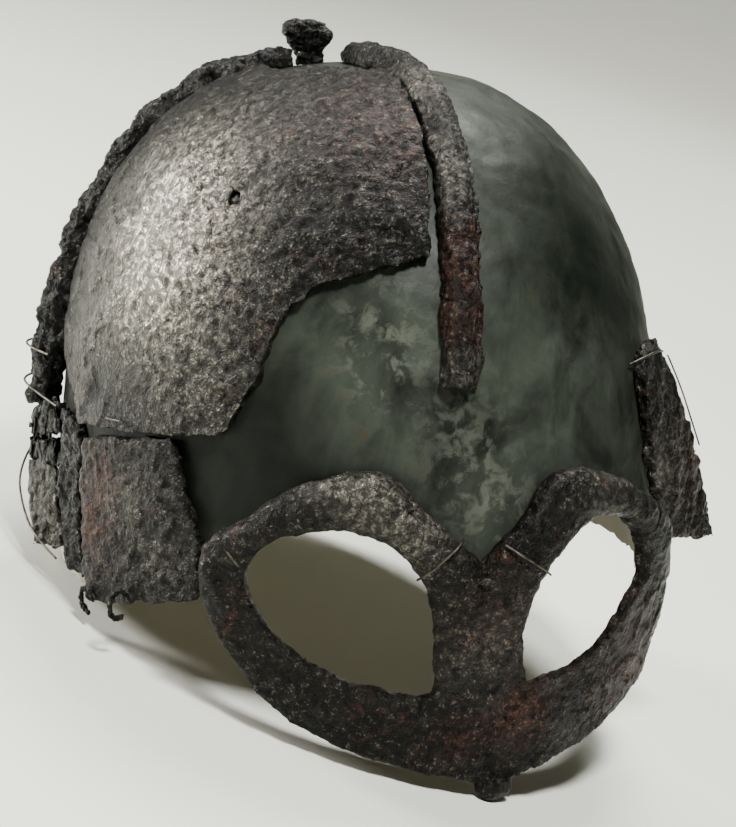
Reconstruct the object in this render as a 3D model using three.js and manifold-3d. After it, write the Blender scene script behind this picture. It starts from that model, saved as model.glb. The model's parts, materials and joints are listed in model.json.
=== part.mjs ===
// Norse iron helmet: the surviving iron plates, bands and spectacle guard on a smooth modern filler bowl.
// Millimetres, +Z up. The helmet is modelled upright, face towards -Y, with height zero at the brow line,
// and is then laid on its guard and rear rim as it stands by itself, origin under the middle of its box.
import * as THREE from 'three';
import { ConvexHull } from 'three/addons/math/ConvexHull.js';
import { mergeVertices } from 'three/addons/utils/BufferGeometryUtils.js';
import Module from 'manifold-3d';

// Bowl
const bowlHalfWidth = 102;
const bowlHalfLength = 118;
const crownHeight = 158;
const rimDrop = 13;
const bowlWall = 4;
const shoulderFullness = 2.61;
const crownFullness = 2.695;

// Iron on the bowl
const seatGap = 0.4;
const upperPlateThickness = 3.4;
const sidePlateThickness = 4;
const bandWidth = 14;
const bandRise = 8;
const lateralBandWidth = 13;
const lateralBandRise = 8;
const knobHeight = 15;
const knobWidth = 11;
const knobLength = 17;

// Spectacle guard
const guardHalfTurn = 50;
const guardDrop = 60;
const browHeight = 47;
const guardThickness = 4.3;
const guardStandoff = 0.8;
const guardFlare = 4;
const guardLeanBack = 0.16;
const browRise = 4.5;
const tipLumpRadius = 5;
const tipLumpDrop = 4;
const rivetRadius = 3;
const rivetDome = 1.6;
const rivetLift = 1.9;
const cornerBulbRadius = 6.5;

// Right cheek plate, which flares away from the bowl
const cheekPlateThickness = 4;
const cheekFlare = 17;

// Rings and binding wires
const ringRadius = 4.2;
const ringWire = 1.8;
const bindingWire = 0.9;
const wireGap = 0.35;

const degree = Math.PI / 180;
const wasm = await Module();
wasm.setup();

// Finishes
const finishes = {
  filler: { color: 0x2b3129, roughness: 0.55, metalness: 0.0 },
  iron: { color: 0x2f2b28, roughness: 0.5, metalness: 0.75 },
  rust: { color: 0x3a2620, roughness: 0.65, metalness: 0.5 },
  wire: { color: 0x4a4036, roughness: 0.45, metalness: 0.8 },
};

// A point of the helmet's outer skin: turn is degrees from the front towards +X, height is in millimetres,
// and offset stands off the bowl's outer face. Above the brow line the skin is a full dome, below it a wall.
function skinPoint(turn, height, offset) {
  const top = crownHeight + offset;
  const rise = Math.min(Math.max(height, 0) / top, 1);
  const reach = (1 - rise ** crownFullness) ** (1 / shoulderFullness);
  const x = (bowlHalfWidth + offset) * reach * Math.sin(turn * degree);
  const y = -(bowlHalfLength + offset) * reach * Math.cos(turn * degree);
  return new THREE.Vector3(x, y, height);
}

// The height on the dome at a slope from zero at the brow line to a quarter turn at the crown.
function heightAtSlope(slope, offset) {
  return (crownHeight + offset) * Math.sin(slope) ** (2 / crownFullness);
}

// A solid from a grid of points: rows[i][j] on the outer face and the same on the inner face.
function slabGeometry(outer, inner) {
  const rows = outer.length;
  const columns = outer[0].length;
  const positions = [];
  for (const face of [outer, inner]) {
    for (const row of face) {
      for (const point of row) positions.push(point.x, point.y, point.z);
    }
  }
  const at = (face, i, j) => (face * rows + i) * columns + j;
  const index = [];
  const quad = (a, b, c, d) => index.push(a, b, c, a, c, d);
  for (let i = 0; i < rows - 1; i += 1) {
    for (let j = 0; j < columns - 1; j += 1) {
      quad(at(0, i, j), at(0, i, j + 1), at(0, i + 1, j + 1), at(0, i + 1, j));
      quad(at(1, i, j), at(1, i + 1, j), at(1, i + 1, j + 1), at(1, i, j + 1));
    }
  }
  for (let j = 0; j < columns - 1; j += 1) {
    quad(at(0, 0, j), at(1, 0, j), at(1, 0, j + 1), at(0, 0, j + 1));
    quad(at(0, rows - 1, j), at(0, rows - 1, j + 1), at(1, rows - 1, j + 1), at(1, rows - 1, j));
  }
  for (let i = 0; i < rows - 1; i += 1) {
    quad(at(0, i, 0), at(0, i + 1, 0), at(1, i + 1, 0), at(1, i, 0));
    quad(at(0, i, columns - 1), at(1, i, columns - 1), at(1, i + 1, columns - 1), at(0, i + 1, columns - 1));
  }
  return closedGeometry(positions, index);
}

function closedGeometry(positions, index) {
  const geometry = new THREE.BufferGeometry();
  geometry.setAttribute('position', new THREE.Float32BufferAttribute(positions, 3));
  geometry.setIndex(index);
  return geometry;
}

// A solid swept through closed sections of the same count. A ring joins its last section to its first,
// and an open sweep is capped with a fan at each end.
function sweptGeometry(sections, ring) {
  const count = sections[0].length;
  const positions = [];
  for (const section of sections) {
    for (const point of section) positions.push(point.x, point.y, point.z);
  }
  const index = [];
  const last = ring ? sections.length : sections.length - 1;
  for (let i = 0; i < last; i += 1) {
    const next = (i + 1) % sections.length;
    for (let j = 0; j < count; j += 1) {
      const k = (j + 1) % count;
      index.push(i * count + j, i * count + k, next * count + k);
      index.push(i * count + j, next * count + k, next * count + j);
    }
  }
  if (!ring) {
    const end = (sections.length - 1) * count;
    for (let j = 1; j < count - 1; j += 1) {
      index.push(0, j + 1, j);
      index.push(end, end + j, end + j + 1);
    }
  }
  return closedGeometry(positions, index);
}

// Booleans
function toSolid(geometry) {
  const bare = geometry.clone();
  bare.deleteAttribute('normal');
  bare.deleteAttribute('uv');
  const merged = mergeVertices(bare, 1e-4);
  const mesh = new wasm.Mesh({
    numProp: 3,
    vertProperties: new Float32Array(merged.attributes.position.array),
    triVerts: new Uint32Array(merged.index.array),
  });
  const solid = new wasm.Manifold(mesh);
  return solid.volume() < 0 ? toSolid(flipped(merged)) : solid;
}

function flipped(geometry) {
  const turned = geometry.clone();
  const index = turned.index.array;
  for (let i = 0; i < index.length; i += 3) {
    const first = index[i];
    index[i] = index[i + 1];
    index[i + 1] = first;
  }
  return turned;
}

function toGeometry(solid) {
  const mesh = solid.getMesh();
  return closedGeometry(Array.from(mesh.vertProperties), Array.from(mesh.triVerts));
}

// A tube of the given wire thickness along a curve, closed at both ends.
function wireGeometry(curve, thickness, steps, sides) {
  const section = new THREE.Shape();
  section.absarc(0, 0, thickness / 2, 0, Math.PI * 2);
  const options = { steps, curveSegments: sides / 2, bevelEnabled: false, extrudePath: curve };
  return new THREE.ExtrudeGeometry(section, options);
}

// Bowl: a smooth shell of filler, open below. Its rim is flat round the sides and back, and is cut up behind
// the brows so that the eye openings stay clear. Turns here are degrees either side of the front.
const bowlRows = 12;
const fineTurn = 4.5;
const coarseTurn = 9;
const fineReach = 54;
const bowlAngles = [];
for (let turn = -fineReach; turn < fineReach; turn += fineTurn) bowlAngles.push(turn);
for (let turn = fineReach; turn < 360 - fineReach; turn += coarseTurn) bowlAngles.push(turn);
const bowlTurns = bowlAngles.length;

const rimCut = [
  { turn: 0, height: 0.17 },
  { turn: 0.1, height: 0.25 },
  { turn: 0.18, height: 0.47 },
  { turn: 0.27, height: 0.68 },
  { turn: 0.4, height: 0.77 },
  { turn: 0.54, height: 0.76 },
  { turn: 0.66, height: 0.66 },
  { turn: 0.78, height: 0.5 },
  { turn: 0.88, height: 0.33 },
  { turn: 0.95, height: 0.08 },
];

function rimHeight(turn, drop) {
  const share = Math.abs(turn > 180 ? turn - 360 : turn) / guardHalfTurn;
  const last = rimCut[rimCut.length - 1];
  if (share >= 1.04) return -drop;
  if (share >= last.turn) {
    const t = (share - last.turn) / (1.04 - last.turn);
    return THREE.MathUtils.lerp(last.height * browHeight, -drop, t);
  }
  const next = rimCut.findIndex((row) => row.turn > share);
  const from = rimCut[next - 1];
  const to = rimCut[next];
  const t = (share - from.turn) / (to.turn - from.turn);
  return THREE.MathUtils.lerp(from.height, to.height, t) * browHeight;
}

function bowlFace(offset, drop) {
  const rows = [];
  for (let i = 0; i < bowlRows; i += 1) {
    rows.push(bowlAngles.map((turn) => {
      const rim = rimHeight(turn, drop);
      if (i === 0) return skinPoint(turn, rim, offset);
      const start = Math.asin((Math.max(rim, 0) / crownHeight) ** (crownFullness / 2));
      const slope = THREE.MathUtils.lerp(start, Math.PI / 2, i / bowlRows);
      return skinPoint(turn, heightAtSlope(slope, offset), offset);
    }));
  }
  return rows;
}

function bowlGeometry() {
  const faces = [bowlFace(0, rimDrop), bowlFace(-bowlWall, rimDrop)];
  const positions = [];
  for (const rows of faces) {
    for (const row of rows) {
      for (const point of row) positions.push(point.x, point.y, point.z);
    }
  }
  const at = (face, i, j) => (face * bowlRows + i) * bowlTurns + (j % bowlTurns);
  const outerApex = positions.length / 3;
  positions.push(0, 0, crownHeight);
  positions.push(0, 0, crownHeight - bowlWall);
  const index = [];
  for (let j = 0; j < bowlTurns; j += 1) {
    for (let i = 0; i < bowlRows - 1; i += 1) {
      index.push(at(0, i, j), at(0, i, j + 1), at(0, i + 1, j + 1));
      index.push(at(0, i, j), at(0, i + 1, j + 1), at(0, i + 1, j));
      index.push(at(1, i, j), at(1, i + 1, j + 1), at(1, i, j + 1));
      index.push(at(1, i, j), at(1, i + 1, j), at(1, i + 1, j + 1));
    }
    index.push(at(0, bowlRows - 1, j), at(0, bowlRows - 1, j + 1), outerApex);
    index.push(at(1, bowlRows - 1, j), outerApex + 1, at(1, bowlRows - 1, j + 1));
    index.push(at(0, 0, j), at(1, 0, j), at(1, 0, j + 1));
    index.push(at(0, 0, j), at(1, 0, j + 1), at(0, 0, j + 1));
  }
  return closedGeometry(positions, index);
}

// Plates on the bowl. Each row of a plate's table runs from its left edge to its right edge: turns are in
// degrees, and heights are shares of the crown's height.
function plateGeometry(table, thickness, options = {}) {
  const { rowsBetween = 2, columns = 14, flare = () => 0 } = options;
  const { lerp } = THREE.MathUtils;
  const outer = [];
  const inner = [];
  for (let i = 0; i < table.length - 1; i += 1) {
    const steps = i === table.length - 2 ? rowsBetween + 1 : rowsBetween;
    for (let k = 0; k < steps; k += 1) {
      const t = k / rowsBetween;
      const left = lerp(table[i].left, table[i + 1].left, t);
      const right = lerp(table[i].right, table[i + 1].right, t);
      const leftUp = lerp(table[i].leftUp, table[i + 1].leftUp, t) * crownHeight;
      const rightUp = lerp(table[i].rightUp, table[i + 1].rightUp, t) * crownHeight;
      const outerRow = [];
      const innerRow = [];
      for (let j = 0; j < columns; j += 1) {
        const across = j / (columns - 1);
        const turn = lerp(left, right, across);
        const height = lerp(leftUp, rightUp, across);
        const lift = flare(across, height);
        innerRow.push(skinPoint(turn, height, seatGap + lift));
        outerRow.push(skinPoint(turn, height, seatGap + lift + thickness));
      }
      outer.push(outerRow);
      inner.push(innerRow);
    }
  }
  return slabGeometry(outer, inner);
}

const upperPlateRows = [
  { left: -81.5, leftUp: 0.278, right: -46, rightUp: 0.338 },
  { left: -82.5, leftUp: 0.315, right: -44, rightUp: 0.36 },
  { left: -88, leftUp: 0.345, right: -43, rightUp: 0.385 },
  { left: -93, leftUp: 0.4, right: -41.5, rightUp: 0.42 },
  { left: -97, leftUp: 0.46, right: -39.3, rightUp: 0.46 },
  { left: -98.5, leftUp: 0.53, right: -37.6, rightUp: 0.53 },
  { left: -99.5, leftUp: 0.6, right: -34.6, rightUp: 0.6 },
  { left: -100, leftUp: 0.65, right: -28, rightUp: 0.652 },
  { left: -100, leftUp: 0.675, right: -15, rightUp: 0.685 },
  { left: -100.5, leftUp: 0.7, right: -7.6, rightUp: 0.7 },
  { left: -101, leftUp: 0.77, right: -6.8, rightUp: 0.77 },
  { left: -101, leftUp: 0.84, right: -5.6, rightUp: 0.84 },
  { left: -101, leftUp: 0.91, right: -4.4, rightUp: 0.91 },
  { left: -101, leftUp: 0.955, right: -2.5, rightUp: 0.955 },
  { left: -103, leftUp: 0.985, right: -3, rightUp: 0.985 },
  { left: -106, leftUp: 0.997, right: -12, rightUp: 0.997 },
];
const platePit = { turn: -50.5, height: 0.78, radius: 2.6 };

function upperPlateGeometry() {
  const plate = plateGeometry(upperPlateRows, upperPlateThickness, { rowsBetween: 2, columns: 18 });
  const centre = skinPoint(platePit.turn, platePit.height * crownHeight, upperPlateThickness);
  const pit = new THREE.SphereGeometry(platePit.radius, 10, 8);
  pit.translate(centre.x, centre.y, centre.z);
  return toGeometry(toSolid(plate).subtract(toSolid(pit)));
}

const leftCheekRows = [
  { left: -76.5, leftUp: -0.086, right: -49.6, rightUp: -0.008 },
  { left: -77.5, leftUp: -0.05, right: -48.6, rightUp: 0.04 },
  { left: -78.5, leftUp: 0.03, right: -48.6, rightUp: 0.11 },
  { left: -79.5, leftUp: 0.13, right: -51.2, rightUp: 0.19 },
  { left: -79, leftUp: 0.2, right: -53.2, rightUp: 0.26 },
  { left: -78.5, leftUp: 0.262, right: -55.5, rightUp: 0.312 },
];

const leftStripRows = [
  { left: -86, leftUp: -0.045, right: -78.6, rightUp: -0.045 },
  { left: -90, leftUp: 0.03, right: -80, rightUp: 0.03 },
  { left: -92.6, leftUp: 0.14, right: -81, rightUp: 0.14 },
  { left: -92.6, leftUp: 0.23, right: -80.4, rightUp: 0.23 },
  { left: -90.5, leftUp: 0.29, right: -81.8, rightUp: 0.262 },
];

// Three loose scraps of iron below the lateral band, from the highest to the lowest. Each is seated along its
// front edge and stands away from the bowl towards the back.
const scrapRows = {
  upper_scrap: [
    { left: -102.5, leftUp: 0.186, right: -93.6, rightUp: 0.215 },
    { left: -103.5, leftUp: 0.215, right: -93.2, rightUp: 0.25 },
    { left: -103, leftUp: 0.24, right: -94, rightUp: 0.3 },
  ],
  middle_scrap: [
    { left: -102, leftUp: 0.135, right: -93.8, rightUp: 0.155 },
    { left: -103.5, leftUp: 0.16, right: -93.6, rightUp: 0.18 },
    { left: -102.5, leftUp: 0.178, right: -93.8, rightUp: 0.205 },
  ],
  lower_scrap: [
    { left: -94, leftUp: -0.03, right: -88.5, rightUp: -0.02 },
    { left: -100, leftUp: 0.03, right: -91.2, rightUp: 0.04 },
    { left: -104, leftUp: 0.127, right: -93.8, rightUp: 0.147 },
  ],
};
const scrapThickness = 3.6;
const scrapStand = 7;
const scrapFlare = (across) => scrapStand * (1 - across);

// The right cheek plate is seated on the bowl at its top and stands away from it at its lower back corner.
const rightCheekRows = [
  { left: 53, leftUp: 0.045, right: 68, rightUp: -0.005 },
  { left: 50.5, leftUp: 0.09, right: 68.5, rightUp: 0.06 },
  { left: 46.5, leftUp: 0.2, right: 65, rightUp: 0.19 },
  { left: 43.5, leftUp: 0.32, right: 60.5, rightUp: 0.32 },
  { left: 42.3, leftUp: 0.42, right: 57, rightUp: 0.43 },
  { left: 44, leftUp: 0.455, right: 54.5, rightUp: 0.47 },
];

function rightCheekFlare(across, height) {
  const low = 1 - height / (rightCheekRows[rightCheekRows.length - 1].leftUp * crownHeight);
  return cheekFlare * Math.max(0, low) * across;
}

// Bands: a half-round ridge with a thin lip, swept along a route of shares of the bowl's half width, half
// length and crown height. The route is pulled onto the bowl from its middle.
function bowlLevel(point, offset) {
  const reach = Math.hypot(point.x / (bowlHalfWidth + offset), point.y / (bowlHalfLength + offset));
  return reach ** shoulderFullness + (Math.max(point.z, 0) / (crownHeight + offset)) ** crownFullness;
}

function onBowl(direction, offset) {
  let low = 0;
  let high = 2;
  for (let i = 0; i < 40; i += 1) {
    const middle = (low + high) / 2;
    if (bowlLevel(direction.clone().multiplyScalar(middle), offset) > 1) high = middle;
    else low = middle;
  }
  return direction.clone().multiplyScalar(low);
}

function bowlNormal(point) {
  const step = 0.05;
  const level = (dx, dy, dz) => bowlLevel(point.clone().add(new THREE.Vector3(dx, dy, dz)), 0);
  const here = level(0, 0, 0);
  const slope = new THREE.Vector3(level(step, 0, 0) - here, level(0, step, 0) - here, level(0, 0, step) - here);
  return slope.normalize();
}

function routePoints(route, steps, stand) {
  const knots = route.map((row) => {
    const share = new THREE.Vector3(row.across * bowlHalfWidth, row.along * bowlHalfLength, row.up * crownHeight);
    return onBowl(share, seatGap);
  });
  const curve = new THREE.CatmullRomCurve3(knots, false, 'centripetal');
  return curve.getSpacedPoints(steps).map((point, i) => onBowl(point, seatGap + stand(i / steps)));
}

// Each profile row is a share of half the band's width and a share of its rise.
const ridgeProfile = [
  { out: -1, rise: 0 },
  { out: -1, rise: 0.22 },
  { out: -0.72, rise: 0.3 },
  { out: -0.55, rise: 0.78 },
  { out: 0, rise: 1 },
  { out: 0.6, rise: 0.82 },
  { out: 0.95, rise: 0.35 },
  { out: 0.95, rise: 0 },
];

function bandGeometry(route, width, rise, steps, stand) {
  const points = routePoints(route, steps, stand);
  const sections = points.map((point, i) => {
    const before = points[Math.max(i - 1, 0)];
    const after = points[Math.min(i + 1, points.length - 1)];
    const along = after.clone().sub(before).normalize();
    const normal = bowlNormal(point);
    const side = new THREE.Vector3().crossVectors(along, normal).normalize();
    const size = 1 - bandTaper * Math.abs((2 * i) / steps - 1) ** 6;
    return ridgeProfile.map((row) => point.clone()
      .addScaledVector(side, (row.out * width * size) / 2)
      .addScaledVector(normal, row.rise * rise * size));
  });
  return sweptGeometry(sections, false);
}

const frontBandRoute = [
  { across: 0.02, along: 0.14, up: 1 },
  { across: 0.055, along: -0.12, up: 1 },
  { across: 0.055, along: -0.36, up: 0.97 },
  { across: 0.035, along: -0.56, up: 0.91 },
  { across: 0.01, along: -0.76, up: 0.8 },
  { across: -0.02, along: -0.88, up: 0.66 },
  { across: -0.054, along: -0.94, up: 0.445 },
];

const lateralBandRoute = [
  { across: -0.98, along: 0.225, up: 0.252 },
  { across: -0.97, along: 0.23, up: 0.36 },
  { across: -0.94, along: 0.235, up: 0.5 },
  { across: -0.84, along: 0.235, up: 0.68 },
  { across: -0.68, along: 0.22, up: 0.82 },
  { across: -0.5, along: 0.2, up: 0.91 },
  { across: -0.33, along: 0.18, up: 0.965 },
  { across: -0.192, along: 0.172, up: 0.99 },
];

// The lateral band has come loose from the bowl towards its lower end.
const bandTaper = 0.12;
const lateralBandStand = 5;
const seated = () => 0;
const loosened = (share) => lateralBandStand * (1 - share) ** 2;

// Crown knob: the broken stub of the spike, an oblong lump seated on the end of the lateral band's line.
const knobSeat = { across: -0.13, along: 0.17, up: 1 };
const knobStem = 0.72;

function knobGeometry() {
  const profile = [
    { out: 0.62, rise: 0 },
    { out: 0.55, rise: 0.3 },
    { out: 0.9, rise: 0.45 },
    { out: 1, rise: 0.7 },
    { out: 0.8, rise: 0.92 },
    { out: 0.45, rise: 1 },
  ];
  const share = new THREE.Vector3(
    knobSeat.across * bowlHalfWidth,
    knobSeat.along * bowlHalfLength,
    knobSeat.up * crownHeight,
  );
  const seat = onBowl(share, seatGap);
  const normal = bowlNormal(seat);
  const turns = 14;
  const sections = profile.map((row) => {
    const section = [];
    for (let j = 0; j < turns; j += 1) {
      const angle = (j * 2 * Math.PI) / turns;
      const offset = new THREE.Vector3(
        (Math.cos(angle) * row.out * knobLength) / 2,
        (Math.sin(angle) * row.out * knobWidth * knobStem) / 2,
        0,
      );
      const foot = onBowl(seat.clone().add(offset), seatGap);
      const level = seat.clone().add(offset).addScaledVector(normal, row.rise * knobHeight);
      section.push(row.rise === 0 ? foot : level);
    }
    return section;
  });
  return sweptGeometry(sections, false);
}

// Spectacle guard: two eye loops of flat plate joined at the nose, with convex brow bars above the eyes.
// Each row is a spoke from the eye's edge to the guard's outer edge. Turns are shares of guardHalfTurn, and
// heights are shares of browHeight above the brow line and of guardDrop below it. Bar is the share of the
// brow bar's convex rise.
const leftLoopSpokes = [
  { eyeTurn: -0.79, eyeHeight: 0.25, edgeTurn: -0.945, edgeHeight: 0.24, bar: 0.6 },
  { eyeTurn: -0.757, eyeHeight: 0.4, edgeTurn: -0.915, edgeHeight: 0.46, bar: 0.8 },
  { eyeTurn: -0.688, eyeHeight: 0.5, edgeTurn: -0.8, edgeHeight: 0.61, bar: 1 },
  { eyeTurn: -0.586, eyeHeight: 0.583, edgeTurn: -0.67, edgeHeight: 0.83, bar: 1 },
  { eyeTurn: -0.46, eyeHeight: 0.605, edgeTurn: -0.52, edgeHeight: 0.95, bar: 1 },
  { eyeTurn: -0.374, eyeHeight: 0.557, edgeTurn: -0.345, edgeHeight: 1, bar: 1 },
  { eyeTurn: -0.288, eyeHeight: 0.47, edgeTurn: -0.215, edgeHeight: 0.79, bar: 1 },
  { eyeTurn: -0.224, eyeHeight: 0.347, edgeTurn: -0.105, edgeHeight: 0.56, bar: 1 },
  { eyeTurn: -0.19, eyeHeight: 0.22, edgeTurn: 0.02, edgeHeight: 0.32, bar: 0.7 },
  { eyeTurn: -0.164, eyeHeight: 0.057, edgeTurn: 0.02, edgeHeight: 0.02, bar: 0.25 },
  { eyeTurn: -0.152, eyeHeight: -0.175, edgeTurn: 0.02, edgeHeight: -0.25, bar: 0.1 },
  { eyeTurn: -0.144, eyeHeight: -0.418, edgeTurn: 0.03, edgeHeight: -0.95, bar: 0 },
  { eyeTurn: -0.198, eyeHeight: -0.438, edgeTurn: -0.056, edgeHeight: -0.93, bar: 0 },
  { eyeTurn: -0.316, eyeHeight: -0.413, edgeTurn: -0.208, edgeHeight: -0.875, bar: 0 },
  { eyeTurn: -0.44, eyeHeight: -0.367, edgeTurn: -0.4, edgeHeight: -0.785, bar: 0 },
  { eyeTurn: -0.538, eyeHeight: -0.292, edgeTurn: -0.56, edgeHeight: -0.69, bar: 0 },
  { eyeTurn: -0.626, eyeHeight: -0.215, edgeTurn: -0.7, edgeHeight: -0.555, bar: 0 },
  { eyeTurn: -0.694, eyeHeight: -0.122, edgeTurn: -0.79, edgeHeight: -0.397, bar: 0 },
  { eyeTurn: -0.754, eyeHeight: 0, edgeTurn: -0.868, edgeHeight: -0.22, bar: 0.05 },
  { eyeTurn: -0.782, eyeHeight: 0.14, edgeTurn: -0.93, edgeHeight: 0.02, bar: 0.2 },
];

const rightLoopSpokes = [
  { eyeTurn: 0.756, eyeHeight: 0.145, edgeTurn: 0.965, edgeHeight: 0.13, bar: 0.5 },
  { eyeTurn: 0.734, eyeHeight: 0.304, edgeTurn: 0.9, edgeHeight: 0.44, bar: 0.8 },
  { eyeTurn: 0.678, eyeHeight: 0.425, edgeTurn: 0.76, edgeHeight: 0.607, bar: 1 },
  { eyeTurn: 0.606, eyeHeight: 0.53, edgeTurn: 0.662, edgeHeight: 0.736, bar: 1 },
  { eyeTurn: 0.534, eyeHeight: 0.572, edgeTurn: 0.536, edgeHeight: 0.853, bar: 1 },
  { eyeTurn: 0.47, eyeHeight: 0.57, edgeTurn: 0.378, edgeHeight: 0.94, bar: 1 },
  { eyeTurn: 0.374, eyeHeight: 0.515, edgeTurn: 0.3, edgeHeight: 0.93, bar: 1 },
  { eyeTurn: 0.31, eyeHeight: 0.41, edgeTurn: 0.19, edgeHeight: 0.71, bar: 1 },
  { eyeTurn: 0.25, eyeHeight: 0.268, edgeTurn: 0.08, edgeHeight: 0.49, bar: 1 },
  { eyeTurn: 0.21, eyeHeight: 0.121, edgeTurn: -0.02, edgeHeight: 0.27, bar: 0.6 },
  { eyeTurn: 0.178, eyeHeight: -0.067, edgeTurn: -0.02, edgeHeight: -0.08, bar: 0.15 },
  { eyeTurn: 0.18, eyeHeight: -0.2, edgeTurn: -0.02, edgeHeight: -0.28, bar: 0.1 },
  { eyeTurn: 0.202, eyeHeight: -0.335, edgeTurn: -0.02, edgeHeight: -0.6, bar: 0 },
  { eyeTurn: 0.23, eyeHeight: -0.42, edgeTurn: 0.02, edgeHeight: -0.98, bar: 0 },
  { eyeTurn: 0.318, eyeHeight: -0.408, edgeTurn: 0.262, edgeHeight: -0.962, bar: 0 },
  { eyeTurn: 0.43, eyeHeight: -0.367, edgeTurn: 0.44, edgeHeight: -0.897, bar: 0 },
  { eyeTurn: 0.528, eyeHeight: -0.312, edgeTurn: 0.612, edgeHeight: -0.825, bar: 0 },
  { eyeTurn: 0.612, eyeHeight: -0.225, edgeTurn: 0.77, edgeHeight: -0.725, bar: 0 },
  { eyeTurn: 0.67, eyeHeight: -0.113, edgeTurn: 0.9, edgeHeight: -0.58, bar: 0 },
  { eyeTurn: 0.732, eyeHeight: -0.02, edgeTurn: 0.985, edgeHeight: -0.33, bar: 0.1 },
];

// The guard's inner face stands off the bowl, flares at its corners and leans back below the brow line.
function guardPoint(turn, height, depth) {
  const flare = guardFlare * (turn / guardHalfTurn) ** 2;
  const lean = guardLeanBack * Math.min(height, 0);
  return skinPoint(turn, height, guardStandoff + flare + lean + depth);
}

function spokeHeight(share) {
  return share > 0 ? share * browHeight : share * guardDrop;
}

function loopGeometry(spokes) {
  const count = spokes.length;
  const curveOf = (turn, height) => new THREE.CatmullRomCurve3(
    spokes.map((row) => new THREE.Vector3(row[turn] * guardHalfTurn, spokeHeight(row[height]), 0)),
    true,
    'centripetal',
  );
  const eye = curveOf('eyeTurn', 'eyeHeight');
  const edge = curveOf('edgeTurn', 'edgeHeight');
  const stepsBetween = 3;
  const across = [0, 0.12, 0.36, 0.64, 0.88, 1];
  const sections = [];
  for (let i = 0; i < count * stepsBetween; i += 1) {
    const share = i / (count * stepsBetween);
    const row = Math.floor(i / stepsBetween);
    const blend = (i % stepsBetween) / stepsBetween;
    const bar = THREE.MathUtils.lerp(spokes[row].bar, spokes[(row + 1) % count].bar, blend);
    const inner = eye.getPoint(share);
    const outer = edge.getPoint(share);
    const section = [];
    for (const t of across) {
      const at = inner.clone().lerp(outer, t);
      section.push(guardPoint(at.x, at.y, guardThickness + bar * browRise * (4 * t * (1 - t)) ** 0.6));
    }
    for (const t of [...across].reverse()) {
      const at = inner.clone().lerp(outer, t);
      section.push(guardPoint(at.x, at.y, 0));
    }
    sections.push(section);
  }
  return sweptGeometry(sections, true);
}

// Places on the guard that other pieces share: turn in degrees, height in millimetres.
const guardTip = { turn: 0.13 * guardHalfTurn, height: -1.03 * guardDrop };
const noseTop = { turn: 0, height: 0.27 * browHeight };
const cornerBulb = { turn: -0.89 * guardHalfTurn, height: 0.27 * browHeight };

function lumpGeometry(place, depth, radius, stretch) {
  const centre = guardPoint(place.turn, place.height, depth);
  const lump = new THREE.SphereGeometry(radius, 12, 8);
  lump.scale(stretch, 0.75, 1);
  lump.translate(centre.x, centre.y, centre.z);
  return lump;
}

function guardGeometry() {
  const tip = { turn: guardTip.turn, height: guardTip.height - tipLumpDrop + tipLumpRadius };
  const pieces = [
    loopGeometry(rightLoopSpokes),
    lumpGeometry(tip, guardThickness / 2, tipLumpRadius, 1.35),
    lumpGeometry(cornerBulb, guardThickness, cornerBulbRadius, 0.8),
  ];
  let guard = toSolid(loopGeometry(leftLoopSpokes));
  for (const piece of pieces) guard = guard.add(toSolid(piece));
  return toGeometry(guard.subtract(toSolid(bowlBody())));
}

// The space that the bowl fills with its seat gap, used to trim what rests on it.
function bowlBody() {
  const positions = [];
  const index = [];
  const rows = bowlFace(seatGap, rimDrop + seatGap);
  for (const row of rows) {
    for (const point of row) positions.push(point.x, point.y, point.z);
  }
  const apex = positions.length / 3;
  positions.push(0, 0, crownHeight + seatGap);
  positions.push(0, 0, -rimDrop - seatGap);
  const at = (i, j) => i * bowlTurns + (j % bowlTurns);
  for (let j = 0; j < bowlTurns; j += 1) {
    for (let i = 0; i < bowlRows - 1; i += 1) {
      index.push(at(i, j), at(i, j + 1), at(i + 1, j + 1));
      index.push(at(i, j), at(i + 1, j + 1), at(i + 1, j));
    }
    index.push(at(bowlRows - 1, j), at(bowlRows - 1, j + 1), apex);
    index.push(at(0, j + 1), at(0, j), apex + 1);
  }
  return closedGeometry(positions, index);
}

// Dome rivet where the brows meet above the nose.
function rivetGeometry() {
  const profile = [new THREE.Vector2(0, 0)];
  const steps = 5;
  for (let i = 0; i <= steps; i += 1) {
    const angle = (i / steps) * (Math.PI / 2);
    profile.push(new THREE.Vector2(Math.cos(angle) * rivetRadius, Math.sin(angle) * rivetDome));
  }
  profile[profile.length - 1].x = 0;
  const rivet = new THREE.LatheGeometry(profile, 16);
  const seat = guardPoint(noseTop.turn, noseTop.height, guardThickness + browRise * 0.7 + rivetLift);
  rivet.rotateX(Math.PI / 2);
  rivet.translate(seat.x, seat.y, seat.z);
  return rivet;
}

// Rings at the left cheek plate's lower edge, each an open loop of wire. The back one lies flat against the
// plate's face, and the front one stands out from it on edge. Out is the share of the ring's radius between.
const ringPlaces = [
  { name: 'ring_back', across: 0.06, facing: -76, out: 0 },
  { name: 'ring_front', across: 0.5, facing: 28, out: 1 },
];
const ringOpening = 70;
const ringSteps = 14;

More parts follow.
